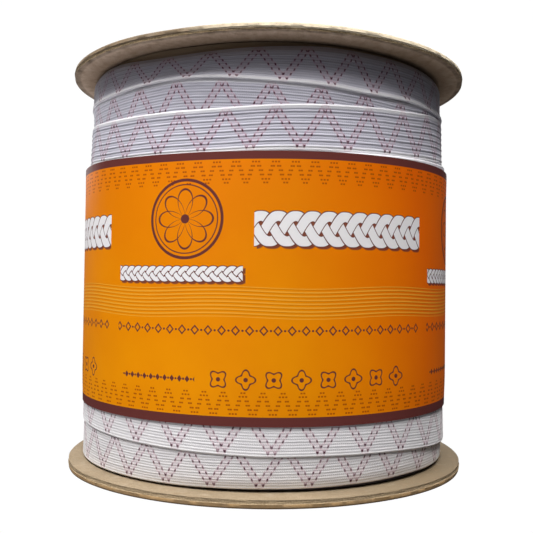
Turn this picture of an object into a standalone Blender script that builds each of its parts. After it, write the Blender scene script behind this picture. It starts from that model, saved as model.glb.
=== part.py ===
"""A roll of flat braided elastic on a cardboard reel, standing upright on one disc of the reel.

Metres, +Z up. The origin is the middle of the reel's underside, and the front faces -Y.
The pieces are the reel's lower disc with its tube, the reel's upper disc, the wound elastic and a
printed paper band round its middle.
"""

import math

import bpy

MM = 0.001
GAP = 0.3 * MM  # between neighbouring pieces

# The reel
DISC_RADIUS = 67.0 * MM
DISC_THICKNESS = 2.2 * MM
REEL_HEIGHT = 130.3 * MM
TUBE_RADIUS = 19.0 * MM
SPINDLE_RADIUS = 16.5 * MM
DISC_CHAMFER = 0.25 * MM
REEL_SIDES = 96

# The elastic, wound a little off the reel's centre, with slack turns near the top
WINDING_SHIFT = -0.5 * MM  # along X
WINDING_SIDES = 72
STEP_HEIGHT = 0.5 * MM  # over which the surface steps from one turn to the next
SHOULDERS = {
    # radius and distance from the disc, mm, from the disc outwards
    "top": ((58.0, 0.3), (60.2, 0.5), (60.9, 1.1)),
    "bottom": ((59.0, 0.3), (61.6, 0.7), (62.3, 1.4)),
}
TURN_EDGES = (
    # height at the front, climb from left to right, droop at both sides, radius above and below, mm
    {"height": 118.0, "climb": -1.4, "droop": 0.2, "above": 60.8, "below": 60.2},
    {"height": 110.0, "climb": 3.2, "droop": -1.6, "above": 60.3, "below": 61.0},
    {"height": 96.8, "climb": 2.6, "droop": -0.8, "above": 61.5, "below": 61.9},
    {"height": 12.4, "climb": -4.2, "droop": 0.2, "above": 62.35, "below": 61.7},
)
HIDDEN_TURNS = {"first": 88.4, "last": 26.0, "count": 8, "above": 61.85, "below": 62.15}

# The paper band
BAND_BOTTOM = 20.7 * MM
BAND_TOP = 96.9 * MM
BAND_INNER_RADIUS = 62.5 * MM
BAND_THICKNESS = 0.35 * MM
LAP_THICKNESS = 0.3 * MM  # what the glued overlap adds
LAP_MIDDLE = math.pi / 2  # at the back
LAP_HALF_ANGLE = math.radians(7.5)

COLOURS = {
    "greyboard": (0.42, 0.35, 0.27),
    "elastic": (0.62, 0.60, 0.64),
    "paper": (0.80, 0.33, 0.04),
}


def clear_scene():
    for thing in list(bpy.data.objects):
        bpy.data.objects.remove(thing)


def make_material(name, roughness):
    material = bpy.data.materials.new(name)
    material.use_nodes = True
    shader = material.node_tree.nodes["Principled BSDF"]
    shader.inputs["Base Color"].default_value = (*COLOURS[name], 1)
    shader.inputs["Roughness"].default_value = roughness
    shader.inputs["Metallic"].default_value = 0
    return material


def add_object(name, mesh, material, collection):
    mesh.materials.append(material)
    thing = bpy.data.objects.new(name, mesh)
    collection.objects.link(thing)
    return thing


def turned(name, profile, material, collection):
    """A turned piece from its closed profile of (radius, height), which runs down its outer side."""
    mesh = bpy.data.meshes.new(name)
    points = [(radius, 0, height) for radius, height in profile]
    edges = [(i, (i + 1) % len(points)) for i in range(len(points))]
    mesh.from_pydata(points, edges, [])
    thing = add_object(name, mesh, material, collection)
    screw = thing.modifiers.new("Turn", "SCREW")
    screw.steps = REEL_SIDES
    screw.render_steps = REEL_SIDES
    screw.use_merge_vertices = True
    screw.merge_threshold = 0.01 * MM
    screw.use_smooth_shade = False
    return thing


def lofted_ring(name, section, sides, material, collection):
    """A closed ring through one section at each angle. A section lists (radius, height, shift along X)."""
    points = []
    for side in range(sides):
        angle = 2 * math.pi * side / sides
        for radius, height, shift in section(angle):
            points.append((shift + radius * math.cos(angle), radius * math.sin(angle), height))
    count = len(points) // sides
    faces = []
    for side in range(sides):
        here = side * count
        after = (side + 1) % sides * count
        for row in range(count):
            below = (row + 1) % count
            faces.append((here + row, here + below, after + below, after + row))
    mesh = bpy.data.meshes.new(name)
    mesh.from_pydata(points, [], faces)
    mesh.shade_smooth()
    mesh.set_sharp_from_angle(angle=math.radians(50))
    return add_object(name, mesh, material, collection)


def chamfered_rim(top, bottom):
    """The outer side of a disc, from its upper face to its lower one."""
    inset = DISC_RADIUS - DISC_CHAMFER
    return [
        (inset, top),
        (DISC_RADIUS, top - DISC_CHAMFER),
        (DISC_RADIUS, bottom + DISC_CHAMFER),
        (inset, bottom),
    ]


def reel_base_profile():
    tube_top = REEL_HEIGHT - DISC_THICKNESS - GAP
    tube_side = [(SPINDLE_RADIUS, tube_top), (TUBE_RADIUS, tube_top), (TUBE_RADIUS, DISC_THICKNESS)]
    return [*tube_side, *chamfered_rim(DISC_THICKNESS, 0), (SPINDLE_RADIUS, 0)]


def reel_top_profile():
    underside = REEL_HEIGHT - DISC_THICKNESS
    rim = chamfered_rim(REEL_HEIGHT, underside)
    return [(SPINDLE_RADIUS, REEL_HEIGHT), *rim, (SPINDLE_RADIUS, underside)]


def turn_edges():
    """Every step between two turns, from the top down, with the evenly spaced ones behind the band."""
    first, last, count = (HIDDEN_TURNS[key] for key in ("first", "last", "count"))
    hidden = [
        {
            "height": first + (last - first) * turn / (count - 1),
            "climb": 0.0,
            "droop": 0.0,
            "above": HIDDEN_TURNS["above"],
            "below": HIDDEN_TURNS["below"],
        }
        for turn in range(count)
    ]
    return sorted([*TURN_EDGES, *hidden], key=lambda edge: -edge["height"])


def edge_height(edge, angle):
    """A turn's edge leans across the front, and sags where it passes the sides."""
    lean = edge["climb"] / 2 * math.cos(angle)
    sag = edge["droop"] * math.cos(angle) ** 2
    return edge["height"] + lean - sag


def winding_section(angle):
    underside = REEL_HEIGHT - DISC_THICKNESS
    outer = [(radius * MM, underside - below * MM) for radius, below in SHOULDERS["top"]]
    for edge in turn_edges():
        height = edge_height(edge, angle) * MM
        outer.append((edge["above"] * MM, height + STEP_HEIGHT / 2))
        outer.append((edge["below"] * MM, height - STEP_HEIGHT / 2))
    outer += [(r * MM, DISC_THICKNESS + up * MM) for r, up in reversed(SHOULDERS["bottom"])]
    bore = [(TUBE_RADIUS + GAP, DISC_THICKNESS + GAP), (TUBE_RADIUS + GAP, underside - GAP)]
    return [(*point, WINDING_SHIFT) for point in outer] + [(*point, 0) for point in bore]


def band_section(angle):
    lapped = abs(angle - LAP_MIDDLE) < LAP_HALF_ANGLE
    outer = BAND_INNER_RADIUS + BAND_THICKNESS + (LAP_THICKNESS if lapped else 0)
    corners = [
        (outer, BAND_TOP),
        (outer, BAND_BOTTOM),
        (BAND_INNER_RADIUS, BAND_BOTTOM),
        (BAND_INNER_RADIUS, BAND_TOP),
    ]
    return [(*corner, WINDING_SHIFT) for corner in corners]


def build():
    clear_scene()
    collection = bpy.data.collections.new("roll_of_elastic")
    bpy.context.scene.collection.children.link(collection)
    greyboard = make_material("greyboard", 0.9)
    elastic = make_material("elastic", 0.85)
    paper = make_material("paper", 0.5)
    turned("reel_base", reel_base_profile(), greyboard, collection)
    turned("reel_top", reel_top_profile(), greyboard, collection)
    lofted_ring("elastic_winding", winding_section, WINDING_SIDES, elastic, collection)
    lofted_ring("label_band", band_section, WINDING_SIDES, paper, collection)


build()
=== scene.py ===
"""The looks of a roll of flat braided elastic on a cardboard reel, with a printed paper band round it.

Lengths are in millimetres until MM turns them into the frame's metres. Angles are in degrees, counted
from the front (-Y) towards the right (+X), and go on past 180 along a winding.
"""

import math
import random

import bpy
import numpy as np
from mathutils import Matrix, Vector


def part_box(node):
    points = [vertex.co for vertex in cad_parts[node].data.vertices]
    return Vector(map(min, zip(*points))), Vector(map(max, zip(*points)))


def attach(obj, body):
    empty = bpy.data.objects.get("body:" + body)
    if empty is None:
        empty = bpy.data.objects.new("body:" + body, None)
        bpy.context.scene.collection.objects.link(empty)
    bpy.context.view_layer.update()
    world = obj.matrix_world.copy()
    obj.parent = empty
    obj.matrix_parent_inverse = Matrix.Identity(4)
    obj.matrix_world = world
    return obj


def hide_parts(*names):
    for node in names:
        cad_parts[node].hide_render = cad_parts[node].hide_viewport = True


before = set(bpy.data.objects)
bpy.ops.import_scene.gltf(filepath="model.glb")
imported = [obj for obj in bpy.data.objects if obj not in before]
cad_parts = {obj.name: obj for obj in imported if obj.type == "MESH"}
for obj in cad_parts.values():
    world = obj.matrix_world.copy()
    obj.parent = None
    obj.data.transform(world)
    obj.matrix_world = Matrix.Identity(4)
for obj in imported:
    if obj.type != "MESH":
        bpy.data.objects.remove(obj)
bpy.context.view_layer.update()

MM = 0.001


def box_mm(node):
    return [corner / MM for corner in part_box(node)]


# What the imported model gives
TOP_LOW, TOP_HIGH = box_mm("reel_top")
LABEL_LOW, LABEL_HIGH = box_mm("label_band")
DISC_RADIUS = TOP_HIGH.x
REEL_HEIGHT = TOP_HIGH.z
DISC_THICKNESS = TOP_HIGH.z - TOP_LOW.z
LABEL_RADIUS = (LABEL_HIGH.x - LABEL_LOW.x) / 2
LABEL_HEIGHT = LABEL_HIGH.z - LABEL_LOW.z
WINDING_SHIFT = (LABEL_HIGH.x + LABEL_LOW.x) / 2  # along X

# The reel
SPINDLE_RADIUS = 16.5
TUBE_RADIUS = 19.0
TUBE_SET_BACK = 0.05  # of its bore from the discs' holes
TUBE_ENDS = {"up": 0.35, "down": 0.15}  # above the reel's underside, and below the upper disc
TUBE_STRIP = {"climb": 48.0, "groove": 0.06}  # of the strip that it is wound from, and its seam
REEL_SIDES = 384
WARP_START = 24.0  # radius inside which the discs stay flat
FACE_RINGS = (SPINDLE_RADIUS, 17.2, 24.0, 32.0, 40.0, 48.0, 56.0, 63.0)  # radii of a disc's points

# The tape
TAPE_WIDTH = 12.8
TAPE_THICKNESS = 0.85
RIBS = 16
RIB = TAPE_WIDTH / RIBS
RIB_POINTS = 5
TAPE_STEP = 1.25  # degrees between sections
STITCH = 0.62  # along a rib
WAVE_LENGTH = 14.0  # of the zigzag of tracer threads
WAVE_BOTTOM = 1.0  # above the tape's lower edge
WAVE_TOP = 11.9
THREAD_SHIFT = 1.0  # either side of the zigzag's own line
THREAD_HALF = 0.24  # half a thread's width
DASH_HALF = 0.38  # half the length that a thread shows dark, on every other rib
TINT_HALF = 1.3  # half the width of the tint between the two threads
SELVEDGES_AND_HIGHLIGHTS = {"top": (TAPE_WIDTH, 1.1), "bottom": (0.3, 1.0)}  # middle and half width of the plain edges, which are painted lighter, partly as a painted highlight on the rolled lips
LIP_REACH = 1.5  # how far a curled edge reaches into the tape
TOP_ROLL = {"depth": 0.45, "reach": 0.6}  # how far the tape's edges round off, and over what width
BOTTOM_ROLL = {"depth": 0.12, "reach": 0.15}

# A course lists a tape's path: the angle, the height of its two edges, the radius at each edge and how
# far each edge curls out.
UPPER_COURSE = (
    (-420, 93.6, 80.8, 61.7, 61.8, 0.0, 0.0),
    (-360, 96.2, 83.4, 61.8, 61.9, 0.0, 0.0),
    (-334, 97.5, 84.7, 62.0, 61.9, 0.2, 0.0),
    (-307, 98.6, 85.8, 62.1, 61.9, 0.3, 0.0),
    (-240, 103.8, 91.0, 61.7, 61.9, 0.1, 0.0),
    (-180, 108.4, 95.6, 61.3, 61.7, 0.1, 0.0),
    (-110, 111.4, 98.4, 60.9, 61.4, 0.1, 0.0),
    (-69, 111.3, 98.2, 60.8, 61.3, 0.3, 0.0),
    (-54, 109.9, 96.9, 60.8, 61.3, 0.4, 0.0),
    (-36, 109.1, 96.3, 60.9, 61.4, 0.5, 0.0),
    (-14, 109.0, 96.2, 60.9, 61.4, 0.5, 0.0),
    (0, 109.8, 96.9, 60.9, 61.4, 0.5, 0.0),
    (17, 110.7, 97.3, 60.9, 61.4, 0.5, 0.0),
    (30, 111.4, 97.6, 60.9, 61.3, 0.4, 0.0),
    (43, 112.3, 98.0, 60.9, 61.2, 0.3, 0.0),
    (59, 114.2, 99.2, 60.9, 61.2, 0.1, 0.0),
    (110, 118.2, 104.6, 61.0, 61.3, 0.1, 0.1),
    (180, 122.2, 109.4, 61.1, 61.4, 0.0, 0.2),
    (245, 125.4, 114.4, 61.1, 61.3, -0.2, 0.2),
    (281, 127.6, 118.3, 60.6, 60.8, -0.2, 0.3),
    (291, 127.5, 118.1, 60.4, 60.6, -0.5, 0.4),
    (303, 127.4, 117.3, 60.2, 60.5, -0.7, 0.5),
    (311, 127.1, 117.3, 60.1, 60.4, -0.8, 0.7),
    (325, 125.8, 117.8, 60.1, 60.3, -0.8, 0.9),
    (341, 125.7, 117.9, 60.2, 60.4, -0.8, 0.9),
    (351, 126.2, 117.2, 60.3, 60.5, -0.9, 0.8),
    (360, 126.7, 116.5, 60.5, 60.5, -1.0, 0.8),
    (374, 127.3, 115.8, 60.6, 60.5, -1.0, 0.8),
    (385, 127.3, 115.0, 60.6, 60.5, -1.0, 0.8),
    (406, 127.2, 115.2, 60.6, 60.5, -0.8, 0.9),
    (418, 127.1, 115.1, 60.6, 60.5, -0.6, 0.9),
    (431, 127.1, 115.6, 60.5, 60.5, -0.4, 0.8),
    (470, 127.3, 116.5, 60.1, 60.1, -0.1, 0.3),
    (540, 127.2, 116.2, 59.9, 59.9, -0.1, 0.0),
    (600, 126.6, 116.6, 59.8, 59.8, -0.2, 0.0),
    (640, 125.4, 116.6, 59.7, 59.7, -0.3, 0.0),
)
UNDER_COURSE = (
    (-170, 118.4, 106.4, 60.0, 60.0, 0.0, 0.0),
    (-69, 118.3, 105.5, 60.6, 60.1, -0.1, 0.0),
    (-49, 117.7, 104.9, 60.6, 60.1, -0.2, 0.0),
    (-36, 117.9, 105.1, 60.6, 60.1, -0.2, 0.0),
    (-25, 118.1, 105.3, 60.6, 60.2, 0.1, 0.0),
    (-12, 117.5, 104.9, 60.8, 60.2, 0.1, 0.0),
    (0, 116.7, 104.4, 60.8, 60.2, 0.1, 0.0),
    (14, 116.1, 103.8, 60.7, 60.2, 0.0, 0.0),
    (28, 115.5, 103.1, 60.7, 60.1, -0.1, 0.0),
    (42, 115.1, 102.7, 60.8, 60.1, -0.1, 0.0),
    (59, 116.4, 103.6, 60.8, 60.0, 0.0, 0.0),
    (72, 117.2, 104.4, 60.6, 60.0, 0.0, 0.0),
    (130, 115.0, 102.6, 60.0, 60.0, 0.0, 0.0),
)
LOWER_COURSE = (
    (-260, 36.0, 23.2, 62.1, 62.1, 0.0, 0.0),
    (-180, 31.6, 18.8, 62.1, 62.1, 0.0, 0.0),
    (-110, 28.2, 15.4, 62.1, 62.2, 0.0, 0.0),
    (-58, 27.0, 14.2, 62.25, 62.25, 0.0, 0.0),
    (-35, 26.4, 13.6, 62.25, 62.25, 0.0, 0.0),
    (-20, 25.9, 13.1, 62.25, 62.25, 0.0, 0.0),
    (0, 25.2, 12.4, 62.25, 62.25, 0.0, 0.0),
    (16, 25.1, 12.3, 62.25, 62.25, 0.0, 0.0),
    (31, 24.7, 11.9, 62.25, 62.25, 0.0, 0.0),
    (45, 24.0, 11.2, 62.25, 62.25, 0.0, 0.0),
    (61, 22.7, 9.9, 62.1, 62.3, 0.0, 0.0),
    (120, 20.8, 8.0, 62.0, 62.3, 0.0, 0.0),
    (180, 19.0, 6.4, 61.9, 62.3, 0.0, 0.0),
    (240, 17.2, 4.7, 61.8, 62.2, 0.0, 0.0),
    (291, 15.4, 3.1, 61.9, 62.1, 0.0, 0.0),
    (316, 15.2, 3.2, 61.9, 61.9, 0.0, -0.1),
    (340, 15.4, 3.3, 62.0, 61.7, 0.0, -0.3),
    (353, 15.7, 3.5, 62.05, 61.6, 0.0, -0.4),
    (370, 16.1, 3.6, 62.05, 61.5, 0.0, -0.4),
    (385, 16.5, 3.7, 62.05, 61.5, 0.0, -0.4),
    (404, 17.1, 4.0, 61.95, 61.5, 0.0, -0.3),
    (421, 16.6, 3.7, 61.6, 61.5, 0.0, -0.2),
    (480, 16.4, 3.9, 61.0, 61.2, 0.0, -0.1),
    (540, 16.6, 4.1, 60.9, 60.9, 0.0, 0.0),
    (640, 17.2, 4.7, 60.6, 60.7, 0.0, 0.0),
)
# Each tape: the angle that one zigzag takes and where one has its lowest point, how far every first and
# every second rib stands out, the rows of its bake map, and between which angles it goes over to being
# pulled flatter
TAPES = (
    {
        "name": "elastic_upper_turns",
        "course": UPPER_COURSE,
        "wave_angle": 13.157,
        "wave_at": -4.2,
        "prominence": (0.17, 0.04),
        "rows": 8,
        "seed": 3,
        "pulled": (190, 280),
    },
    {
        "name": "elastic_under_turn",
        "course": UNDER_COURSE,
        "wave_angle": 13.3,
        "wave_at": 7.9,
        "prominence": (0.12, 0.05),
        "rows": 5,
        "seed": 4,
    },
    {
        "name": "elastic_lower_turns",
        "course": LOWER_COURSE,
        "wave_angle": 12.754,
        "wave_at": 2.3,
        "prominence": (0.05, 0.03),
        "rows": 8,
        "seed": 6,
    },
)

# The core behind the visible turns
CORE_RADIUS = 59.0
CORE_NECK = {"from": 120.0, "radius": 58.0, "gap": 0.3}  # behind the topmost turns, and its gap to the disc
CORE_BAND = {"low": 30.0, "high": 84.0, "radius": 61.7, "pitch": 8.9, "step": 0.5, "lap": 0.4}  # hidden turns
CORE_FOOT = {"radius": 60.2, "high": 8.0, "gap": 0.9}  # behind the lowest turns
CORE_INNER_GAP = 0.3  # from the tube
LAYER_ENDS = {"top": (0.15, 0.4), "bottom": (0.45, 0.7)}  # gaps from the discs to the ends of the layers
CORE_STEP = 3.75  # degrees between sections

# The paper band, with its print in millimetres along it from the front and up from its lower edge
LABEL_THICKNESS = 0.15
LABEL_TUCK = {"depth": 0.25, "reach": 6.0}  # how the lower edge is drawn in, and over what height
LABEL_OPENING = 5.0  # height over which the upper edge stands off
LABEL_LAP = 7.5  # degrees either side of the back
LABEL_LAP_RISE = 0.45
LABEL_STEP = 1.25
BORDER = {"top": 2.25, "bottom": 2.7}
PANEL = 104.5  # the print repeats after this
DASH_PITCH = PANEL / 19
DASH_ROWS = (
    # distance from the border, and from the middle of a group to each dash in it
    (0.8, (0.0, 0.84)),
    (2.0, (0.55, 1.18)),
    (3.2, (1.05, 1.7)),
    (4.4, (1.38, 1.99)),
    (5.6, (1.85, 2.73)),
    (6.6, (2.35,)),
)
LABEL_EDGES = (
    # angle, how much higher the band's upper and lower edges lie, and how far its upper edge stands off
    (-188, 0.0, 0.0, 0.0),
    (-100, 0.2, 0.0, 0.0),
    (-56, 0.2, 0.0, 0.1),
    (-32, -0.5, 0.0, 0.0),
    (-3, -0.4, 0.0, 0.0),
    (20, 0.0, 0.0, 0.1),
    (41, 0.3, 0.1, 0.2),
    (60, 0.5, 0.1, 0.2),
    (110, 0.3, 0.0, 0.0),
    (188, 0.0, 0.0, 0.0),
)
PINSTRIPES = {"low": 29.9, "high": 38.4, "pitch": 1.06, "half": 0.2, "sway": 0.35}
PINSTRIPE_SHADE = {"below": 0.36, "half": 0.09}
PLAITS = (
    {"middle": 54.6, "low": -3.0, "high": 55.0, "reach": 3.5, "length": 14.5, "half": 1.35},
    {"middle": 42.0, "low": -47.0, "high": -6.0, "reach": 1.5, "length": 8.2, "half": 0.68},
)
PLAIT_SHADOW = (0.75, -0.65)  # how far right and up it falls
MEDALLION = {"along": -23.0, "up": 57.5, "petals": 8.4, "petal_half": 0.3, "eye": 1.3}
MEDALLION_RINGS = ((11.0, 0.42), (9.7, 0.17))  # radius and half width
LOZENGES = (
    {"middle": 26.4, "low": -47.5, "high": 52.0, "pitch": 3.9, "wide": 1.3, "tall": 1.45, "line": 0.2},
    {"middle": 12.6, "low": -45.0, "high": -19.4, "pitch": 2.4, "wide": 0.75, "tall": 0.95, "line": None},
)
QUATREFOILS = {"middle": 12.9, "along": -12.5, "low": -16.3, "high": 45.2, "pitch": 7.7}
BAND_PAINTED_SHADE = {"from": 19.0, "deeper_over": 90.0, "redder_over": 200.0}  # up the band, over which painted shade makes the orange deeper and redder
BAND_PAINTED_RED = {"rising": (8.0, 58.0), "falling": (150.0, 90.0)}  # along it, where painted shade turns its orange red on the shaded right

# The board's rim, for a board of the usual thickness: inset and depth below the outer face
RIM = (
    (0.5, 0.0),
    (0.32, 0.03),
    (0.25, 0.12),
    (0.2, 0.35),
    (0.02, 1.1),
    (0.12, 1.18),
    (0.2, 1.35),
    (0.17, 1.5),
    (0.24, 1.7),
    (0.2, 1.9),
    (0.22, 2.1),
    (0.35, 2.2),
)
RIM_LINER = 4  # stretches of it before the cut core
RIM_CORE = 6
UPPER_COVER = (1, 6, 3)  # stretches of the upper rim in the colours of its face, its liner and its core
# the lower rim's first stretches take the underside's painted shade
LOWER_COVER = (3, 1, 6)
LOWER_THICKNESS = 2.55  # of the lower disc as it shows at its rim
UPPER_RIM = (
    # angle, how much higher the rim lies there, and how much further out
    (-180, 0.2, 0.0),
    (-120, 0.8, 0.3),
    (-85, 0.8, 0.9),
    (-55, 0.45, 0.35),
    (-36, 0.3, 0.15),
    (-25, 0.15, 0.1),
    (-8, 0.5, 0.1),
    (4, 0.65, 0.1),
    (20, 0.75, 0.1),
    (33, 0.6, 0.1),
    (48, 0.6, 0.2),
    (65, 0.6, 0.4),
    (90, 0.6, 0.6),
    (130, 0.4, 0.2),
    (180, 0.2, 0.0),
)
LOWER_RIM = (
    (-180, 0.0, 0.0),
    (-130, 0.0, 0.0),
    (-90, 0.0, -0.6),
    (-74, 0.0, 0.4),
    (-58, 0.0, 1.4),
    (-42, 0.0, 1.5),
    (-25, 0.0, 1.2),
    (0, 0.0, 0.9),
    (25, 0.0, 0.7),
    (45, 0.0, 0.9),
    (60, 0.0, 0.8),
    (75, 0.0, 0.2),
    (90, 0.0, -0.4),
    (130, 0.0, 0.0),
    (180, 0.0, 0.0),
)

# Where looks change, each with the place at which a change starts and the one at which it is full
PAINTED_SHADE_ZONE = (118.0, 127.0)  # height, under the upper disc, where painted shade darkens the elastic
PAINTED_SHADE_LOW = (9.0, 6.0)  # height, near the lower disc, where painted shade darkens the core
HIGHLIT_EDGE_TURNS = (200.0, 180.0)  # along the tape, whose upper edge is painted lighter up to there, as a plain edge and a painted highlight
WORN_LEFT = (0.0, -18.0)  # along X
# painted shade on board faces, darker towards the right
PAINTED_SHADE_RIGHT = (10.0, 55.0)
SHADE_INWARD_RAMP = (66.0, 61.0)  # radius, over which painted shade darkens a face towards the winding
SCRAPED_RIM = (65.4, 66.0)  # radius

CAMERA = {"place": (0.0, -267.5, 59.2), "lens": 50.48, "sensor": 36.0, "pitch": 1.52, "roll": 0.75}

# The stage and the lights, in metres, watts and degrees
STAGE = {"flat": 1.6, "curve": 0.8, "wall": 5.0, "glow": 1.01}
SURROUND = {"above": 0.05, "below": 1.6, "lost_to_right": 0.97, "colour": (0.98, 0.96, 1.0, 1.0)}
SURROUND_RAMPS = {"down": (-0.45, -0.9), "right": (-0.2, 0.35)}  # of the direction's parts
LIGHT_COLOUR = (1.0, 0.985, 0.97)
LIGHT_DISTANCE = 1.3
LIGHTS = (
    {"name": "left", "turn": -80.0, "height": 57.0, "size": 0.3, "power": 7.5},
    {"name": "front_left", "turn": -38.0, "height": 57.0, "size": 0.3, "power": 5.8},
    {"name": "low", "turn": -35.0, "height": 22.0, "size": 0.8, "power": 0.9},
    {"name": "front", "turn": 5.0, "height": 57.0, "size": 0.3, "power": 8.3},
    {"name": "right", "turn": 42.0, "height": 57.0, "size": 0.3, "power": 1.8},
    {"name": "back_right", "turn": 158.0, "height": 20.0, "size": 0.5, "power": 3.5},
    {"name": "back_left", "turn": 218.0, "height": 20.0, "size": 0.5, "power": 3.5},
    {"name": "ceiling", "turn": 14.0, "height": 79.0, "size": 0.8, "power": 26.0},
)

COLOURS = {
    "orange": "#F69A00",
    "orange_mottle_and_shade": "#EB8A00",
    "orange_shaded_red": "#F36C00",
    "brown": "#6A3632",
    "dash_brown": "#AE4A08",
    "gold": "#F3B23C",
    "gold_shade": "#BF6E06",
    "ink_white": "#F4F2F4",
    "paper": "#E8E4DA",
    "board": "#96866F",
    "board_shade": "#6C5E49",
    # Painted shade: a darker copy of the board for the upper disc's top face
    "top_board_painted_shade": "#8E806A",
    "top_board_painted_dark": "#74664F",
    "board_painted_shade": "#6B4A24",
    # Painted light: a lighter copy of the board for the upper disc's underside
    "underside_painted_light": "#D0BAA5",
    "underside_painted_light_dark": "#AB967F",
    "board_edge": "#AC987A",
    "board_edge_dark": "#78654C",
    "board_torn": "#A08C6C",
    "board_torn_dark": "#3B2E1E",
    "liner": "#EADBBF",
    "liner_worn": "#9A8468",
    "liner_rubbed": "#7C6B55",
    "liner_gold": "#C69D66",
    "elastic": "#F6F5F7",
    "elastic_shade": "#CECBD0",
    # Painted shade: the white elastic dimmed and darkened for the turns in the upper disc's shade
    "elastic_painted_shade_light": "#D6D5E1",
    "elastic_painted_shade_dark": "#8F8E9F",
    "elastic_painted_deep_shade": "#4E4C57",
    "elastic_painted_brown_shade": "#8C7B64",
    "thread": "#4C2034",
    "thread_tint": "#CC8FA6",
}


def linear(name):
    """A named colour as Blender's shaders take it."""
    text = COLOURS[name]
    shares = [int(text[i : i + 2], 16) / 255 for i in (1, 3, 5)]
    return [s / 12.92 if s <= 0.04045 else ((s + 0.055) / 1.055) ** 2.4 for s in shares] + [1.0]


# -------- materials


class Field:
    """A number that varies over a surface or round the world. Working with it adds Math nodes."""

    def __init__(self, graph, socket):
        self.graph = graph
        self.socket = socket

    def math(self, operation, *others):
        node = self.graph.node("ShaderNodeMath", operation=operation)
        for socket, value in zip(node.inputs, (self, *others)):
            self.graph.feed(socket, value)
        return Field(self.graph, node.outputs[0])

    def __add__(self, other):
        return self.math("ADD", other)

    def __sub__(self, other):
        return self.math("SUBTRACT", other)

    def __mul__(self, other):
        return self.math("MULTIPLY", other)

    def __truediv__(self, other):
        return self.math("DIVIDE", other)

    def __rsub__(self, other):
        return self * -1.0 + other

    def __abs__(self):
        return self.math("ABSOLUTE")

    def sin(self):
        return self.math("SINE")

    def cos(self):
        return self.math("COSINE")

    def lower(self, other):
        return self.math("MINIMUM", other)

    def higher(self, other):
        return self.math("MAXIMUM", other)

    def above(self, other):
        return self.math("GREATER_THAN", other)

    def clamped(self):
        return self.math("MAXIMUM", 0.0).math("MINIMUM", 1.0)

    def ramp(self, start, end):
        """0 at start and before it, and 1 at end and past it."""
        return ((self - start) / (end - start)).clamped()

    def there_and_back(self, reach):
        """Rises from 0 to reach and falls again, over and over."""
        return self.math("PINGPONG", reach)

    def repeated(self, pitch):
        """The same, brought to between -pitch / 2 and pitch / 2."""
        return self.math("WRAP", pitch / 2, -pitch / 2)

    def within(self, half, soft=0.08):
        """1 where this is less than half away from 0, and 0 outside, over a soft edge."""
        return ((half - abs(self)) / soft + 0.5).clamped()

    def between(self, low, high, soft=0.08):
        return (self - (low + high) / 2).within((high - low) / 2, soft)


def highest(fields):
    first, *others = fields
    for field in others:
        first = first.higher(field)
    return first


class Graph:
    """The nodes of a material or of the world."""

    def __init__(self, tree):
        self.tree = tree

    def node(self, kind, **settings):
        node = self.tree.nodes.new(kind)
        for key, value in settings.items():
            setattr(node, key, value)
        return node

    def feed(self, socket, value):
        if isinstance(value, Field):
            value = value.socket
        if isinstance(value, bpy.types.NodeSocket):
            self.tree.links.new(value, socket)
        else:
            socket.default_value = value

    def parts(self, vector):
        """A vector's three parts."""
        node = self.node("ShaderNodeSeparateXYZ")
        self.feed(node.inputs[0], vector)
        return [Field(self, socket) for socket in node.outputs]


class Finish(Graph):
    """A material built from nodes."""

    def __init__(self, name):
        self.material = bpy.data.materials.new(name)
        self.material.use_nodes = True
        super().__init__(self.material.node_tree)
        self.shader = self.tree.nodes["Principled BSDF"]

    def coordinates(self, map_name):
        """The two coordinates of one of the mesh's UV maps, in millimetres."""
        return self.parts(self.node("ShaderNodeUVMap", uv_map=map_name).outputs[0])[:2]

    def place(self, *stretch):
        """The place on the object in millimetres, stretched along its axes."""
        source = self.node("ShaderNodeTexCoord")
        scaled = self.node("ShaderNodeVectorMath", operation="MULTIPLY")
        self.feed(scaled.inputs[0], source.outputs["Object"])
        self.feed(scaled.inputs[1], [share / MM for share in stretch or (1, 1, 1)])
        return scaled.outputs[0]

    def height(self):
        return self.parts(self.place())[2]

    def under_disc(self):
        """How far up a place lies in the zone of painted shade below the upper disc, from 0 to 1."""
        return self.height().ramp(*PAINTED_SHADE_ZONE)

    def joined(self, x, y, z=0.0):
        node = self.node("ShaderNodeCombineXYZ")
        for socket, value in zip(node.inputs, (x, y, z)):
            self.feed(socket, value)
        return node.outputs[0]

    def noise(self, vector, size, detail=2.0):
        """Noise between about 0 and 1 with features of that size."""
        node = self.node("ShaderNodeTexNoise")
        self.feed(node.inputs["Vector"], vector)
        self.feed(node.inputs["Scale"], 1 / size)
        self.feed(node.inputs["Detail"], detail)
        return Field(self, node.outputs[0])

    def mixed(self, first, second, share):
        """The first colour where share is 0, and the second where it is 1."""
        node = self.node("ShaderNodeMix", data_type="RGBA")
        self.feed(node.inputs[0], share)
        for socket, value in ((node.inputs[6], first), (node.inputs[7], second)):
            self.feed(socket, linear(value) if isinstance(value, str) else value)
        return node.outputs[2]

    def bump(self, height):
        """Raises the surface by height, in millimetres."""
        node = self.node("ShaderNodeBump")
        self.feed(node.inputs["Distance"], MM)
        self.feed(node.inputs["Height"], height)
        self.feed(self.shader.inputs["Normal"], node.outputs[0])

    def set(self, **values):
        for name, value in values.items():
            self.feed(self.shader.inputs[name.replace("_", " ")], value)


def tracer_threads(along, across):
    """Where the two zigzag threads lie, where they show dark on the ribs, and the tint between them."""
    slope = WAVE_LENGTH / 2 / (WAVE_TOP - WAVE_BOTTOM)
    rise = (across - WAVE_BOTTOM) * slope
    in_rib = (across + RIB / 2).repeated(2 * RIB)
    upright = rise - in_rib * (slope * 0.5)
    lines = highest(
        ((along + shift).there_and_back(WAVE_LENGTH / 2) - upright).within(THREAD_HALF, 0.16)
        for shift in (-THREAD_SHIFT, THREAD_SHIFT)
    )
    tint = (along.there_and_back(WAVE_LENGTH / 2) - rise).within(TINT_HALF, 0.9)
    return lines, lines * in_rib.within(DASH_HALF, 0.16), tint


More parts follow.
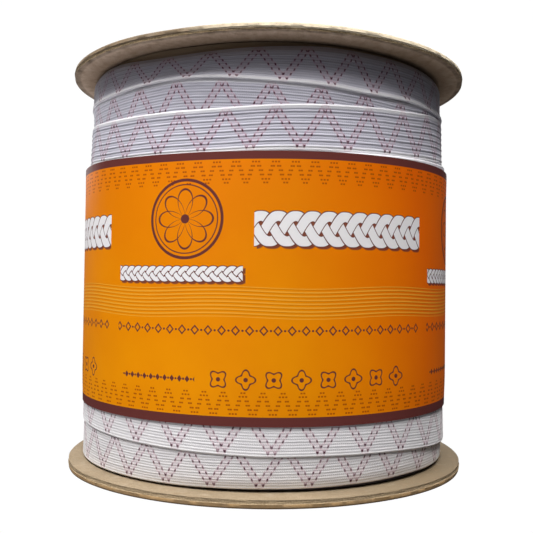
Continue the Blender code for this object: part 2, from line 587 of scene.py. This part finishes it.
def elastic_finish(name, light, shade, ridge_shading):
    """Braided elastic from its light and shaded colours and how strongly its rib crests are painted light and
    its hollows painted dark.
    """
    finish = Finish(name)
    along, across = finish.coordinates("tape")
    plan = finish.joined(along, across)
    ridge = (across / RIB).there_and_back(0.5) * 2.0
    stitch = (along / STITCH + (across / RIB).there_and_back(1.0) * 0.9) * (2 * math.pi)
    braid = stitch.sin() * 0.5 + 0.5
    fluff = finish.noise(plan, 0.16, 3.0)
    patches = finish.noise(finish.place(), 9.0)
    streaks = finish.noise(finish.joined(along / 9.0, across), 0.6)
    # Painted highlight and shade: rib crests lighter and hollows darker; the stitches and the random fluff,
    # patches and streaks are the tape's own
    share = ridge * ridge_shading + braid * 0.09 + fluff * 0.36 + patches * 0.2 + streaks * 0.4
    colour = finish.mixed(shade, light, share.clamped())
    lines, dashes, tint = tracer_threads(along, across)
    worn = (finish.noise(plan, 0.9) * 2.2 - 0.25).clamped()
    # The plain edges are painted lighter, partly as a painted highlight where the rolled lips catch the light
    # from above
    top, bottom = ((across - middle).within(half, 0.8) for middle, half in SELVEDGES_AND_HIGHLIGHTS.values())
    selvedge_and_highlight = bottom.higher(top * along.ramp(*HIGHLIT_EDGE_TURNS))
    colour = finish.mixed(colour, "elastic", selvedge_and_highlight * 0.7)
    colour = finish.mixed(colour, "thread_tint", (tint * 0.3 + lines * 0.6) * fluff)
    # Painted shade: the turns grow darker towards the upper disc
    shaded = (finish.under_disc() * 3.0 - 0.5).clamped()
    colour = finish.mixed(colour, "elastic_painted_deep_shade", shaded * 0.5)
    colour = finish.mixed(colour, "thread", dashes * worn)
    finish.set(Base_Color=colour, Roughness=0.85, Sheen_Weight=0.15, Sheen_Roughness=0.5)
    finish.set(Specular_IOR_Level=0.3)
    finish.bump(braid * ridge * 0.03 + fluff * 0.05 + dashes * 0.03)
    return finish.material


def polar(x, y):
    return (x * x + y * y).math("SQRT"), y.math("ARCTAN2", x)


def dash_band(along, up):
    """The zigzag of small dashes inside each border, mirrored at the lower one."""
    distance = (LABEL_HEIGHT - BORDER["top"] - up).lower(up - BORDER["bottom"])
    offset = abs((along + DASH_PITCH / 2).repeated(DASH_PITCH))
    dashes = []
    for row, places in DASH_ROWS:
        in_row = (distance - row).within(0.22, 0.14)
        dashes += [(offset - place).within(0.28, 0.12) * in_row for place in places]
    return highest(dashes)


def medallion(x, y):
    """Two rings round an eight-petalled rosette."""
    radius, turn = polar(x, y)
    marks = [(radius - middle).within(half) for middle, half in MEDALLION_RINGS]
    for petals in ((turn * 2.0).cos(), (turn * 2.0).sin()):
        marks.append((radius - abs(petals) * MEDALLION["petals"]).within(MEDALLION["petal_half"]))
    return highest([*marks, radius.within(MEDALLION["eye"])])


def plait_strands(x, y, reach, length):
    """For each strand of a three-strand plait: how far the place is from its middle, and how high it lies."""
    strands = []
    for strand in range(3):
        phase = x * (2 * math.pi / length) + 2 * math.pi * strand / 3
        slope = phase.cos() * (2 * math.pi * reach / length)
        away = (y - phase.sin() * reach) / (slope * slope + 1.0).math("SQRT")
        strands.append((away, (phase * 2.0).sin()))
    return strands


def plait(x, up, middle, low, high, reach, length, half):
    """A level plait: where its shadow, its outline and its strands are."""
    y = up - middle
    right, raised = PLAIT_SHADOW
    strands = plait_strands(x, y, reach, length)
    cast = plait_strands(x - right, y - raised, reach, length)
    shadow = highest(away.within(half + 0.1, 0.3) for away, _ in cast)
    outline = highest(away.within(half + 0.22) for away, _ in strands)
    white = []
    for away, lift in strands:
        seen = away.within(half)
        for other, other_lift in strands:
            if other is not away:
                seen = seen * (1.0 - other.within(half + 0.3) * other_lift.above(lift))
        white.append(seen)
    there = x.between(low, high)
    return shadow * (x - right).between(low, high), outline * there, highest(white) * there


def lozenges(x, up, middle, low, high, pitch, wide, tall, line):
    """A row of lozenges, outlined where line is given, with a dot between each two."""
    y = up - middle
    shape = abs(x.repeated(pitch)) / wide + abs(y) / tall
    lozenge = shape.within(1.0, 0.12) if line is None else (shape - 1.0 + line).within(line, 0.12)
    dot, _ = polar((x + pitch / 2).repeated(pitch), y)
    return lozenge.higher(dot.within(0.32)) * x.between(low, high)


def quatrefoils(x, up, middle, along, low, high, pitch):
    """A row of four-lobed rings with a dot, every second one turned, and one of them at along."""
    from_one = x - along
    radius, turn = polar(from_one.repeated(pitch), up - middle)
    turned = (from_one / pitch + 0.5).math("FLOOR").there_and_back(1.0) * 2.0 - 1.0
    lobes = (turn * 4.0).cos() * turned * 0.5 + 2.2
    return (radius - lobes).within(0.24).higher(radius.within(0.62)) * x.between(low, high)


def pinstripes(x, up):
    """How strongly the light stripes and the shade below each show, in a band that sways slightly."""
    level = up + (x * (4 * math.pi / PANEL)).sin() * PINSTRIPES["sway"]
    striped = level.between(PINSTRIPES["low"], PINSTRIPES["high"])
    stripe = (level - PINSTRIPES["low"]).repeated(PINSTRIPES["pitch"])
    shade = (stripe + PINSTRIPE_SHADE["below"]).within(PINSTRIPE_SHADE["half"], 0.12)
    return stripe.within(PINSTRIPES["half"], 0.16) * striped, shade * striped


def label_finish():
    finish = Finish("printed_paper")
    along, up = finish.coordinates("print")
    x = along.repeated(PANEL)
    plan = finish.joined(along, up)
    mottle = finish.noise(plan, 26.0, 3.0)
    grain = finish.noise(plan, 0.35, 2.0)
    risen = up - BAND_PAINTED_SHADE["from"]
    # Painted shade: the orange deepens and reddens up the band and reddens on the right; the mottle is random
    mottle_and_shade = mottle * 1.6 - 0.3 - risen / BAND_PAINTED_SHADE["deeper_over"]
    colour = finish.mixed("orange_mottle_and_shade", "orange", mottle_and_shade.clamped())
    shaded_right = along.ramp(*BAND_PAINTED_RED["rising"]) * along.ramp(*BAND_PAINTED_RED["falling"])
    shaded_redder = shaded_right * 0.9 + risen / BAND_PAINTED_SHADE["redder_over"]
    colour = finish.mixed(colour, "orange_shaded_red", shaded_redder.clamped())

    stripe, shade = pinstripes(x, up)
    colour = finish.mixed(colour, "gold", stripe * 0.75)
    colour = finish.mixed(colour, "gold_shade", shade * 0.6)
    colour = finish.mixed(colour, "dash_brown", dash_band(along, up) * 0.95)

    for shape in PLAITS:
        shadow, outline, white = plait(x, up, **shape)
        colour = finish.mixed(colour, "brown", shadow * 0.9)
        colour = finish.mixed(colour, "brown", outline)
        colour = finish.mixed(colour, "ink_white", white)

    marks = [medallion(x - MEDALLION["along"], up - MEDALLION["up"])]
    marks += [lozenges(x, up, **shape) for shape in LOZENGES]
    marks.append(quatrefoils(x, up, **QUATREFOILS))
    colour = finish.mixed(colour, "brown", highest(marks))
    borders = 1.0 - up.between(BORDER["bottom"], LABEL_HEIGHT - BORDER["top"])
    colour = finish.mixed(colour, "brown", borders)

    finish.set(Base_Color=colour, Roughness=grain * 0.12 + 0.4, Specular_IOR_Level=0.12)
    cockle = finish.noise(finish.joined(along, up / 2.5), 7.0)
    finish.bump(cockle * 0.12 + grain * 0.006)
    return finish.material


def paper_edge_finish():
    finish = Finish("paper_edge")
    grain = finish.noise(finish.place(), 0.3)
    colour = finish.mixed("board", "paper", (grain + 0.3).clamped())
    finish.set(Base_Color=colour, Roughness=0.9)
    finish.bump(grain * 0.03)
    return finish.material


def worn_share(finish, place):
    """1 at the left of the reel's front, where its rim is worn, and 0 from just left of the middle on."""
    ragged = finish.parts(place)[0] + finish.noise(place, 14.0, 3.0) * 14.0
    return ragged.ramp(*WORN_LEFT)


def paint_inward_shade(finish, place, colour, strength):
    """Paints shade on a disc's face towards the winding, broken into streaks, and scrapes it at its rim."""
    x, y, _ = finish.parts(place)
    radius, _ = polar(x, y)
    streaks = finish.noise(finish.place(1.0, 0.4, 1.0), 3.0, 5.0)
    # Painted shade towards the winding, broken into streaks
    shade_inward = radius.ramp(*SHADE_INWARD_RAMP) + streaks * 1.6 - 0.75
    colour = finish.mixed(colour, "board_painted_shade", shade_inward.clamped() * strength)
    scraped = radius.ramp(*SCRAPED_RIM) * (streaks * 1.8 - 0.35).clamped()
    return finish.mixed(colour, "board_torn_dark", scraped * 0.7)


def board_finish(name, light, dark, worn_left=False, painted_shade_right=False, shade_inward=0.0):
    """Laid paper fibres, specks and scuffs on board, which may be worn at the left, darkened at the right by
    painted shade, or darkened towards the winding by painted shade in streaks.
    """
    finish = Finish(name)
    place = finish.place()
    fibres = finish.noise(finish.place(1.0, 0.25, 1.0), 0.5, 4.0)
    cloud = finish.noise(place, 14.0, 3.0)
    speck = (finish.noise(place, 0.7, 1.0) * 9.0 - 6.2).clamped()
    scuff = (finish.noise(place, 4.0, 5.0) * 4.0 - 2.3).clamped()
    stain = (finish.noise(place, 2.2, 6.0) * 4.0 - 1.9).clamped()
    share = (fibres * 0.55 + cloud * 0.75 - 0.15).clamped()
    if worn_left:
        share = share.higher(0.88) * (1.0 - worn_share(finish, place))
    # Painted shade: darker towards the right
    if painted_shade_right:
        share = share * (1.0 - finish.parts(place)[0].ramp(*PAINTED_SHADE_RIGHT))
    colour = finish.mixed(dark, light, share)
    colour = finish.mixed(colour, "board_edge_dark", speck * 0.6)
    colour = finish.mixed(colour, "board_edge_dark", stain * 0.45)
    colour = finish.mixed(colour, "paper", scuff * 0.1)
    if shade_inward:
        colour = paint_inward_shade(finish, place, colour, shade_inward)
    finish.set(Base_Color=colour, Roughness=fibres * 0.15 + 0.75, Specular_IOR_Level=0.25)
    finish.bump(fibres * 0.06 + scuff * 0.03)
    return finish.material


def core_edge_finish(name, light, dark, lightness, worn_left=False):
    """The cut edge of the board: thin dark and light plies, torn into fibres."""
    finish = Finish(name)
    place = finish.place()
    plies = finish.noise(finish.place(0.08, 0.08, 1.0), 0.22, 4.0)
    torn = finish.noise(place, 0.5, 5.0)
    share = plies * 1.5 + torn * 1.4 + (lightness - 1.45)
    if worn_left:
        share = share + worn_share(finish, place) * 0.2
    colour = finish.mixed(dark, light, share.clamped())
    finish.set(Base_Color=colour, Roughness=0.95, Specular_IOR_Level=0.2)
    finish.bump(plies * 0.12 + torn * 0.14)
    return finish.material


def tube_finish():
    """Wound paper with the seam of its strip running round inside the bore."""
    finish = Finish("tube_paper")
    x, y, height = finish.parts(finish.place())
    turns = height / TUBE_STRIP["climb"] + y.math("ARCTAN2", x) / (2 * math.pi)
    seam = turns.repeated(1.0).within(0.012, 0.006)
    grain = finish.noise(finish.place(1.0, 1.0, 0.3), 0.6, 3.0)
    colour = finish.mixed("board_shade", "board", (grain * 0.9 + 0.2).clamped())
    colour = finish.mixed(colour, "board_edge_dark", seam)
    finish.set(Base_Color=colour, Roughness=0.9)
    finish.bump(grain * 0.05 - seam * 0.25)
    return finish.material


# -------- meshes


def swept(name, points, closed, materials, shares=None, maps=None, sharp=40):
    """A closed piece through one closed outline at each station.

    points is an array of (station, outline point, xyz), outlines running down their outer side. Closed
    joins the last station to the first; else both ends are capped. shares gives the material of each
    stretch of the outline. maps has for each UV map its values at the start and at the end of each
    span, as arrays of (span, outline point, uv) with the first outline point once more at the end.
    """
    stations, count = points.shape[:2]
    spans = stations if closed else stations - 1
    span, row = np.meshgrid(np.arange(spans), np.arange(count), indexing="ij")
    after, below = (span + 1) % stations, (row + 1) % count
    corners = [span * count + row, span * count + below, after * count + below, after * count + row]
    faces = np.stack(corners, axis=-1).reshape(-1, 4).tolist()
    if not closed:
        faces.append(list(range(count))[::-1])
        faces.append([(stations - 1) * count + i for i in range(count)])
    mesh = bpy.data.meshes.new(name)
    mesh.from_pydata((points.reshape(-1, 3) * MM).tolist(), [], faces)
    for material in materials:
        mesh.materials.append(material)
    if shares is not None:
        slots = np.tile(np.asarray(shares), spans)
        slots = np.concatenate([slots, [len(materials) - 1] * (len(faces) - len(slots))])
        mesh.polygons.foreach_set("material_index", slots.astype(np.int32))
    for map_name, (start, end) in (maps or {}).items():
        layer = mesh.uv_layers.new(name=map_name)
        sides = [start[span, row], start[span, row + 1], end[span, row + 1], end[span, row]]
        flat = np.stack(sides, axis=2).reshape(-1, 2)
        caps = np.repeat(flat[-1:], len(mesh.loops) - len(flat), axis=0)
        layer.data.foreach_set("uv", np.concatenate([flat, caps]).astype(np.float32).ravel())
    mesh.shade_smooth()
    mesh.set_sharp_from_angle(angle=math.radians(sharp))
    piece = bpy.data.objects.new(name, mesh)
    bpy.context.scene.collection.objects.link(piece)
    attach(piece, "root")
    return piece


def round_axis(radius, height, degrees, shift=0.0):
    """Points round the reel's axis, from values of the same shape or that broadcast to it."""
    turn = np.radians(degrees)
    x, y, z = np.broadcast_arrays(shift + radius * np.sin(turn), -radius * np.cos(turn), height)
    return np.stack([x, y, z], axis=-1)


def drift(degrees, seed, size, waves):
    """An uneven but repeatable wander along a winding."""
    chance = random.Random(seed)
    total = 0.0
    for wave in waves:
        pace = wave * chance.uniform(0.9, 1.1)
        total = total + chance.uniform(0.4, 1.0) * np.sin(np.radians(degrees) * pace + chance.uniform(0, 6.3))
    return total * size / math.sqrt(len(waves))


def follow(rows, column, degrees):
    """One column of a table at each angle, as a smooth curve through its rows."""
    table = np.array(rows, float)
    at, value = table[:, 0], table[:, column]
    slope = np.gradient(value, at)
    row = np.clip(np.searchsorted(at, degrees) - 1, 0, len(at) - 2)
    step = at[row + 1] - at[row]
    t = (degrees - at[row]) / step
    start = (2 * t**3 - 3 * t**2 + 1) * value[row] + (t**3 - 2 * t**2 + t) * step * slope[row]
    end = (3 * t**2 - 2 * t**3) * value[row + 1] + (t**3 - t**2) * step * slope[row + 1]
    return start + end


def along_and_across(along, across):
    """A UV map's values from the distance along a strip at each station and across it at each point."""
    grid = np.stack(np.broadcast_arrays(along[:, None], across[None, :]), axis=-1)
    return grid[:-1], grid[1:]


def in_rows(spans, across, rows):
    """A UV map that lays a long strip out in rows, one above the other."""
    per_row = math.ceil(spans / rows)
    line, place = np.divmod(np.arange(spans), per_row)
    level = (line[:, None] + 0.04 + across[None, :] * 0.92) / rows
    sides = []
    for offset in (0, 1):
        reached = (place + offset)[:, None] / per_row * 0.98 + 0.01
        sides.append(np.stack(np.broadcast_arrays(reached, level), axis=-1))
    return sides


# -------- the elastic


def tape(name, course, wave_angle, wave_at, prominence, rows, seed, material, pulled=None):
    """A stretch of the wound tape along its course, with its ribs and its rolled or curled edges."""
    first, last = course[0][0], course[-1][0]
    degrees = np.linspace(first, last, round((last - first) / TAPE_STEP) + 1)
    values = [follow(course, column, degrees)[:, None] for column in range(1, len(course[0]))]
    top, bottom, top_radius, bottom_radius, top_lip, bottom_lip = values
    width = top - bottom

    outer = np.linspace(0, 1, RIBS * RIB_POINTS + 1)
    inner = np.linspace(1, 0, 8)
    share = np.concatenate([outer, inner])
    radius = top_radius * (1 - share) + bottom_radius * share
    radius = radius + top_lip * np.exp(-((share * width / LIP_REACH) ** 2))
    radius = radius + bottom_lip * np.exp(-(((1 - share) * width / LIP_REACH) ** 2))
    radius = radius + drift(degrees, seed + 1, 0.05, (3, 5, 8, 14))[:, None]

    rib = np.minimum((outer * RIBS).astype(int), RIBS - 1)
    wobble = [drift(degrees, seed * 100 + k, 0.22, (7, 13, 29, 47)) for k in range(RIBS)]
    bulge = np.abs(np.sin(np.pi * outer * RIBS)) * np.where(rib % 2 == 0, *prominence)
    if pulled:
        bulge = bulge * (1 - 0.6 * np.clip((degrees - pulled[0]) / (pulled[1] - pulled[0]), 0, 1)[:, None])
    radius[:, : len(outer)] += bulge * (1 + np.stack(wobble, axis=1)[:, rib])
    for roll, away in ((TOP_ROLL, outer * width), (BOTTOM_ROLL, (1 - outer) * width)):
        radius[:, : len(outer)] -= roll["depth"] * np.exp(-((away / roll["reach"]) ** 2))
    radius[:, len(outer) :] -= TAPE_THICKNESS

    level = top - width * share + drift(degrees, seed + 2, 0.05, (4, 9, 15))[:, None]
    points = round_axis(radius, level, degrees[:, None], WINDING_SHIFT)

    along = (degrees - wave_at) / wave_angle * WAVE_LENGTH
    tape_map = along_and_across(along, TAPE_WIDTH * (1 - np.append(share, share[0])))
    laid = np.concatenate([outer * 0.82, 0.84 + (1 - inner) * 0.14, [1.0]])
    maps = {"tape": tape_map, "OFBake": in_rows(len(degrees) - 1, laid, rows)}
    piece = swept(name, points, False, [material], maps=maps)
    length = math.radians(last - first) * float(np.mean(radius[:, : len(outer)]))
    return piece


def board_lift(radius, rim_shape, degrees):
    """How much higher a warped disc lies at a radius, with its rim as in rim_shape."""
    bend = np.clip((radius - WARP_START) / (DISC_RADIUS - WARP_START), 0, 1) ** 1.5
    return bend * follow(rim_shape, 1, degrees)[:, None]


def core_profile(underside, floor):
    """The core's outline between the two discs: its layers' upper ends, its outer side, their lower ends."""
    neck, shoulder = CORE_NECK["radius"], CORE_NECK["from"]
    step = TAPE_THICKNESS * 2
    layers = np.arange(TUBE_RADIUS + CORE_INNER_GAP, neck - step, step * 2)
    profile = []
    for radius in layers:
        near, far = LAYER_ENDS["top"]
        profile += [(radius, underside - near), (radius + step, underside - far)]
    profile += [(neck, underside - CORE_NECK["gap"]), (neck, shoulder), (CORE_RADIUS, shoulder - 1.0)]

    high, low, pitch = (CORE_BAND[key] for key in ("high", "low", "pitch"))
    profile.append((CORE_RADIUS, high + 1.0))
    for level in np.arange(high, low, -pitch):
        profile.append((CORE_BAND["radius"], level))
        profile.append((CORE_BAND["radius"] + CORE_BAND["step"], level - pitch + CORE_BAND["lap"]))
    profile.append((CORE_RADIUS, low - pitch))

    foot, foot_top = CORE_FOOT["radius"], CORE_FOOT["high"]
    profile += [(CORE_RADIUS, foot_top + 1.0), (foot, foot_top), (foot, floor + CORE_FOOT["gap"])]
    profile.append((CORE_RADIUS, floor + 0.5))
    for radius in layers[::-1]:
        near, far = LAYER_ENDS["bottom"]
        profile += [(radius + step, floor + far), (radius, floor + near)]
    return profile


def winding_core(material):
    """The turns that lie behind the visible ones, and the ends of the layers under the discs."""
    underside = REEL_HEIGHT - DISC_THICKNESS
    degrees = np.arange(-180, 180, CORE_STEP)
    radius, height = (np.array(column)[None, :] for column in zip(*core_profile(underside, DISC_THICKNESS)))
    height = height + board_lift(radius, UPPER_RIM, degrees) * (height > underside - 1)
    outside = radius > CORE_NECK["radius"] - 0.1
    wander = drift(degrees, 71, 0.04, (2, 5, 9))[:, None] * outside
    points = round_axis(radius + wander, height, degrees[:, None], np.where(outside, WINDING_SHIFT, 0.0))
    piece = swept("winding_core", points, True, [material])
    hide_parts("elastic_winding")
    return piece


def core_finish():
    """The elastic deep in the roll, in rings and ribs, brown with painted shade under the upper disc and dark
    with painted shade near the lower disc.
    """
    finish = Finish("elastic_inside")
    ribs = finish.noise(finish.place(0.02, 0.02, 1.0), 0.5, 3.0)
    fluff = finish.noise(finish.place(), 0.3, 3.0)
    colour = finish.mixed("elastic_shade", "elastic", (ribs * 0.8 + fluff * 0.4 - 0.2).clamped())
    # Painted shade under the upper disc and near the lower one
    colour = finish.mixed(colour, "elastic_painted_brown_shade", finish.under_disc())
    colour = finish.mixed(colour, "elastic_painted_deep_shade", finish.height().ramp(*PAINTED_SHADE_LOW))
    finish.set(Base_Color=colour, Roughness=0.9)
    finish.bump(ribs * 0.3 + fluff * 0.1)
    return finish.material


# -------- the paper band


def paper_band(printed, edge):
    """The band, from one end of its lap round to the other, which comes to lie on top."""
    ends = 180 + LABEL_LAP
    degrees = np.linspace(-ends, ends, round(2 * ends / LABEL_STEP) + 1)
    lapped = np.clip((degrees - (180 - 2 * LABEL_LAP)) / LABEL_LAP, 0, 1)
    outer, inner = np.linspace(1, 0, 25), np.linspace(0, 1, 7)
    up = np.concatenate([outer, inner])
    top_rise, bottom_rise, opening = (follow(LABEL_EDGES, column, degrees)[:, None] for column in (1, 2, 3))
    level = LABEL_LOW.z + up * LABEL_HEIGHT + top_rise * up + bottom_rise * (1 - up)
    radius = LABEL_RADIUS + (lapped * lapped * (3 - 2 * lapped) * LABEL_LAP_RISE)[:, None]
    stands_off = opening * np.exp(-(((1 - up) * LABEL_HEIGHT / LABEL_OPENING) ** 2))
    tucked = LABEL_TUCK["depth"] * np.exp(-((up * LABEL_HEIGHT / LABEL_TUCK["reach"]) ** 2))
    slack = drift(degrees, 5, 0.05, (3, 7, 11))[:, None] * up + stands_off - tucked
    radius = radius + slack - np.where(np.arange(len(up)) < len(outer), 0, LABEL_THICKNESS)
    points = round_axis(radius, level, degrees[:, None], WINDING_SHIFT)
    shares = [0] * (len(outer) - 1) + [1] * (len(inner) + 1)
    laid = np.concatenate([(1 - outer) * 0.9, 0.91 + inner * 0.08, [1.0]])
    maps = {
        "print": along_and_across(np.radians(degrees) * LABEL_RADIUS, np.append(up, 1.0) * LABEL_HEIGHT),
        "OFBake": in_rows(len(degrees) - 1, laid, 2),
    }
    piece = swept("paper_band", points, False, [printed, edge], shares, maps)
    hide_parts("label_band")
    return piece


# -------- the reel


def board_disc(name, outer_face, thickness, rim_shape, cover, seed, materials):
    """A laminated board disc, its thickness counted upwards from its outer face.

    materials are those of its outer face, the rim's liner, the rim's cut core and its inner face, and
    cover says how many stretches of the rim the first three take up.
    """
    scale = thickness / DISC_THICKNESS
    face = [(radius, 0.0) for radius in FACE_RINGS]
    rim = [(DISC_RADIUS - inset, depth) for inset, depth in RIM]
    back = [(radius, DISC_THICKNESS) for radius, _ in reversed(face)]
    profile = np.array(face + rim + back)
    core = len(face) + RIM_LINER
    first = len(face) + cover[0]
    shares = np.repeat([0, 1, 2, 3], [first, *cover[1:], len(profile) - first - sum(cover[1:])])
    degrees = np.arange(REEL_SIDES) * 360 / REEL_SIDES - 180
    radius = np.repeat(profile[None, :, 0], REEL_SIDES, axis=0)
    height = outer_face + scale * np.repeat(profile[None, :, 1], REEL_SIDES, axis=0)
    torn = np.random.default_rng(seed).uniform(-0.12, 0.04, (REEL_SIDES, RIM_CORE))
    radius[:, core : core + RIM_CORE] += (torn + np.roll(torn, 1, axis=0) + np.roll(torn, 2, axis=0)) / 3
    uneven = follow(rim_shape, 2, degrees) + drift(degrees, seed, 0.06, (4, 7, 11))
    radius += uneven[:, None] * (radius >= FACE_RINGS[-1])
    height = height + board_lift(radius, rim_shape, degrees)
    if thickness > 0:
        radius, height, shares = radius[:, ::-1], height[:, ::-1], np.roll(shares[::-1], -1)
    piece = swept(name, round_axis(radius, height, degrees[:, None]), True, materials, shares, sharp=50)
    return piece


def reel_tube(material):
    """The tube between the discs, of wound paper with the groove of its strip's seam."""
    low, high = TUBE_ENDS["up"], REEL_HEIGHT - DISC_THICKNESS - TUBE_ENDS["down"]
    bore = SPINDLE_RADIUS + TUBE_SET_BACK
    levels = np.linspace(high - 1, low + 1, 14)
    wall = [(bore, high), (TUBE_RADIUS, high), *((TUBE_RADIUS, level) for level in levels)]
    wall += [(TUBE_RADIUS, low), (bore, low), *((bore, level) for level in levels[::-1])]
    degrees = np.arange(0, 360, 2.5)
    radius, height = (np.array(column)[None, :] for column in zip(*wall))
    seam = np.radians(degrees)[:, None] + height * 2 * math.pi / TUBE_STRIP["climb"]
    radius = radius - TUBE_STRIP["groove"] * np.exp(-((np.sin(seam / 2) / 0.06) ** 2))
    piece = swept("reel_tube", round_axis(radius, height, degrees[:, None]), True, [material], sharp=50)
    return piece


# -------- the stage


def stage_finish():
    finish = Finish("white_stage")
    finish.set(Base_Color=(0.0, 0.0, 0.0, 1.0), Roughness=1.0, Specular_IOR_Level=0.0)
    finish.set(Emission_Color=(1.0, 1.0, 1.0, 1.0), Emission_Strength=STAGE["glow"])
    return finish.material


def stage():
    """A pale round floor that curves up into a wall all round the object."""
    flat, curve = STAGE["flat"], STAGE["curve"]
    bend = np.radians(np.linspace(0, 90, 13))
    radius = np.append(flat + curve * np.sin(bend), flat + curve)
    height = np.append(curve - curve * np.cos(bend), STAGE["wall"])
    degrees = np.arange(0, 360, 7.5)
    points = round_axis(radius, height, degrees[:, None])
    sides, count = points.shape[:2]
    faces = [[side * count for side in range(sides)]]
    for side in range(sides):
        here, after = side * count, (side + 1) % sides * count
        faces += [[here + i, after + i, after + i + 1, here + i + 1] for i in range(count - 1)]
    mesh = bpy.data.meshes.new("stage")
    mesh.from_pydata(points.reshape(-1, 3).tolist(), [], faces)
    mesh.shade_smooth()
    mesh.materials.append(stage_finish())
    floor = bpy.data.objects.new("stage", mesh)
    bpy.context.scene.collection.objects.link(floor)
    # The white backdrop is only seen: the surround gives the light that comes back from below
    floor.visible_diffuse = floor.visible_glossy = floor.visible_shadow = False


def soft_light(name, turn, height, size, power):
    """A round area light aimed at the reel's middle, from an angle round it and one above the horizon."""
    data = bpy.data.lights.new(name, "AREA")
    data.shape = "DISK"
    data.size = size
    data.energy = power
    data.color = LIGHT_COLOUR
    turn, height = math.radians(turn), math.radians(height)
    level = math.cos(height)
    back = Vector((math.sin(turn) * level, -math.cos(turn) * level, math.sin(height)))
    light = bpy.data.objects.new(name, data)
    light.location = Vector((0.0, 0.0, REEL_HEIGHT * MM / 2)) + back * LIGHT_DISTANCE
    light.rotation_euler = (-back).to_track_quat("-Z", "Y").to_euler()
    light.visible_camera = False
    bpy.context.scene.collection.objects.link(light)


def surround():
    """The room's light: little from above, more from the table below, fading towards the right."""
    world = bpy.data.worlds.new("surround")
    world.use_nodes = True
    graph = Graph(world.node_tree)
    right, _, up = graph.parts(graph.node("ShaderNodeTexCoord").outputs["Generated"])
    below = up.ramp(*SURROUND_RAMPS["down"])
    kept = 1.0 - right.ramp(*SURROUND_RAMPS["right"]) * SURROUND["lost_to_right"]
    strength = below * kept * (SURROUND["below"] - SURROUND["above"]) + SURROUND["above"]
    background = graph.tree.nodes["Background"]
    graph.feed(background.inputs["Color"], SURROUND["colour"])
    graph.feed(background.inputs["Strength"], strength)
    bpy.context.scene.world = world


def camera():
    """The photo's view: near the front, a little below the middle, tipped up and rolled slightly."""
    data = bpy.data.cameras.new("camera")
    data.sensor_width = CAMERA["sensor"]
    data.lens = CAMERA["lens"]
    data.clip_start = 0.01
    viewer = bpy.data.objects.new("camera", data)
    bpy.context.scene.collection.objects.link(viewer)
    pitch, roll = math.radians(CAMERA["pitch"]), math.radians(CAMERA["roll"])
    right, up = Vector((1, 0, 0)), Vector((0, -math.sin(pitch), math.cos(pitch)))
    ahead = Vector((0, math.cos(pitch), math.sin(pitch)))
    turned_right = right * math.cos(roll) + up * math.sin(roll)
    turned_up = up * math.cos(roll) - right * math.sin(roll)
    axes = Matrix((turned_right, turned_up, -ahead)).transposed()
    viewer.matrix_world = Matrix.Translation(Vector(CAMERA["place"]) * MM) @ axes.to_4x4()
    bpy.context.scene.camera = viewer


# -------- putting it together

winding_core(core_finish())
# Painted shade: the upper turns take a darker copy of the white elastic's colours
shaded_grey = elastic_finish("elastic_upper", "elastic_painted_shade_light", "elastic_painted_shade_dark", 0.3)
white = elastic_finish("elastic_lower", "elastic", "elastic_shade", 0.1)
for wound, elastic in zip(TAPES, (shaded_grey, shaded_grey, white)):
    tape(**wound, material=elastic)

paper_band(label_finish(), paper_edge_finish())

outer = board_finish("board_outer_face", "board", "board_shade", painted_shade_right=True)
# Painted shade: the upper disc's top face takes a darker copy of the board, against the strong light from
# above
top = board_finish("board_top_face", "top_board_painted_shade", "top_board_painted_dark")
# Painted light: the upper disc's underside takes a lighter copy of the board, standing for light bounced in
# under the disc
inner = board_finish("board_inner_face", "underside_painted_light", "underside_painted_light_dark", painted_shade_right=True, shade_inward=0.4)
# Painted shade: the lower disc's underside and the foot of its rim are dark, standing for the contact shadow
under = board_finish("board_underside", "board_painted_shade", "board_edge_dark")
upper_liner = board_finish("upper_liner", "liner", "liner_rubbed", worn_left=True)
lower_liner = board_finish("lower_liner", "liner_gold", "liner_worn")
torn_core = core_edge_finish("torn_core", "board_torn", "board_torn_dark", 0.4, worn_left=True)
cut_core = core_edge_finish("cut_core", "board_edge", "board_edge_dark", 0.6)
upper_materials = [top, upper_liner, torn_core, inner]
lower_materials = [under, lower_liner, cut_core, outer]
upper = board_disc("upper_disc", REEL_HEIGHT, -DISC_THICKNESS, UPPER_RIM, UPPER_COVER, 31, upper_materials)
lower = board_disc("lower_disc", 0.0, LOWER_THICKNESS, LOWER_RIM, LOWER_COVER, 32, lower_materials)
tube = reel_tube(tube_finish())
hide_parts("reel_top")
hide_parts("reel_base")
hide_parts("reel_base")

stage()
surround()
for light in LIGHTS:
    soft_light(**light)
camera()
bpy.context.scene.view_settings.view_transform = "Standard"
